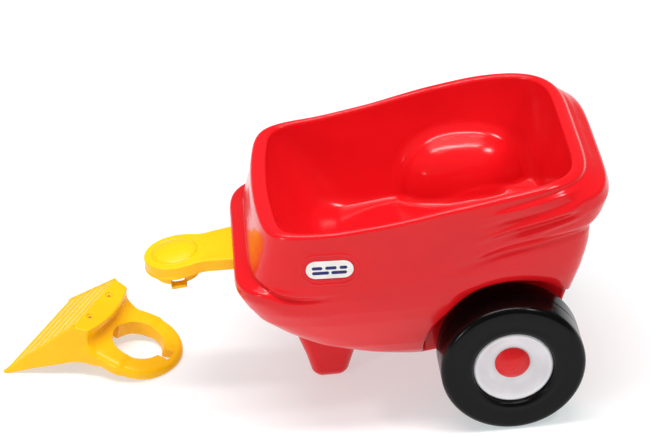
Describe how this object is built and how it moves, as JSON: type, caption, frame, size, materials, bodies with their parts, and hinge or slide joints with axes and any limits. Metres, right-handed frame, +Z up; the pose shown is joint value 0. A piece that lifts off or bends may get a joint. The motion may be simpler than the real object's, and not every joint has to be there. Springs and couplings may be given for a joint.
{
  "type": "toy trailer",
  "caption": "Child's two-wheeled tow trailer: deep red moulded tub on black wheels, yellow coupling tongue, and a separate yellow hitch bracket for the towing car.",
  "frame": {"origin": "bottom centre of the bounding box of the whole assembly, on the floor the trailer and the loose bracket rest on", "axes": "+X from the tongue towards the back of the trailer, +Y to its left-hand side as it stands here, +Z up; the axle runs along Y"},
  "size_m": [0.9194, 0.4582, 0.3925],
  "materials": {
    "red_body": "glossy moulded polyethylene",
    "yellow_plastic": "satin-gloss injection moulding",
    "wheel_black": "glossy blow moulding",
    "hub_white": "glossy",
    "red_cap": "glossy",
    "badge_white": "smooth",
    "natural_plastic": "natural",
    "bright_steel": "zinc plated"
  },
  "bodies": {
    "trailer": {"tub_body": "red_body", "tow_tongue": "yellow_plastic", "tongue_screws": "bright_steel", "left_badge": "badge_white", "right_badge": "badge_white", "left_axle_bush": "natural_plastic", "right_axle_bush": "natural_plastic"},
    "axle_set": {"axle_rod": "bright_steel", "left_inner_washer": "bright_steel", "left_outer_washer": "bright_steel", "left_push_nut": "bright_steel", "right_inner_washer": "bright_steel", "right_outer_washer": "bright_steel", "right_push_nut": "bright_steel"},
    "left_wheel_set": {"left_wheel": "wheel_black", "left_hub_disc": "hub_white", "left_hub_cap": "red_cap"},
    "right_wheel_set": {"right_wheel": "wheel_black", "right_hub_disc": "hub_white", "right_hub_cap": "red_cap"},
    "bracket": {"hitch_bracket": "yellow_plastic"}
  },
  "joints": [
    {"name": "axle_spin", "type": "hinge", "parent": "trailer", "child": "axle_set", "pos_m": [0.3024, -0.03213, 0.105], "axis": [0, 1, 0], "continuous": true},
    {"name": "left_wheel_spin", "type": "hinge", "parent": "axle_set", "child": "left_wheel_set", "pos_m": [0.3024, 0.12587, 0.105], "axis": [0, 1, 0], "continuous": true},
    {"name": "right_wheel_spin", "type": "hinge", "parent": "axle_set", "child": "right_wheel_set", "pos_m": [0.3024, -0.19013, 0.105], "axis": [0, 1, 0], "continuous": true},
    {"name": "bracket_lift", "type": "slide", "parent": "trailer", "child": "bracket", "axis": [0, 0, 1], "range_m": [0, 0.1]}
  ]
}
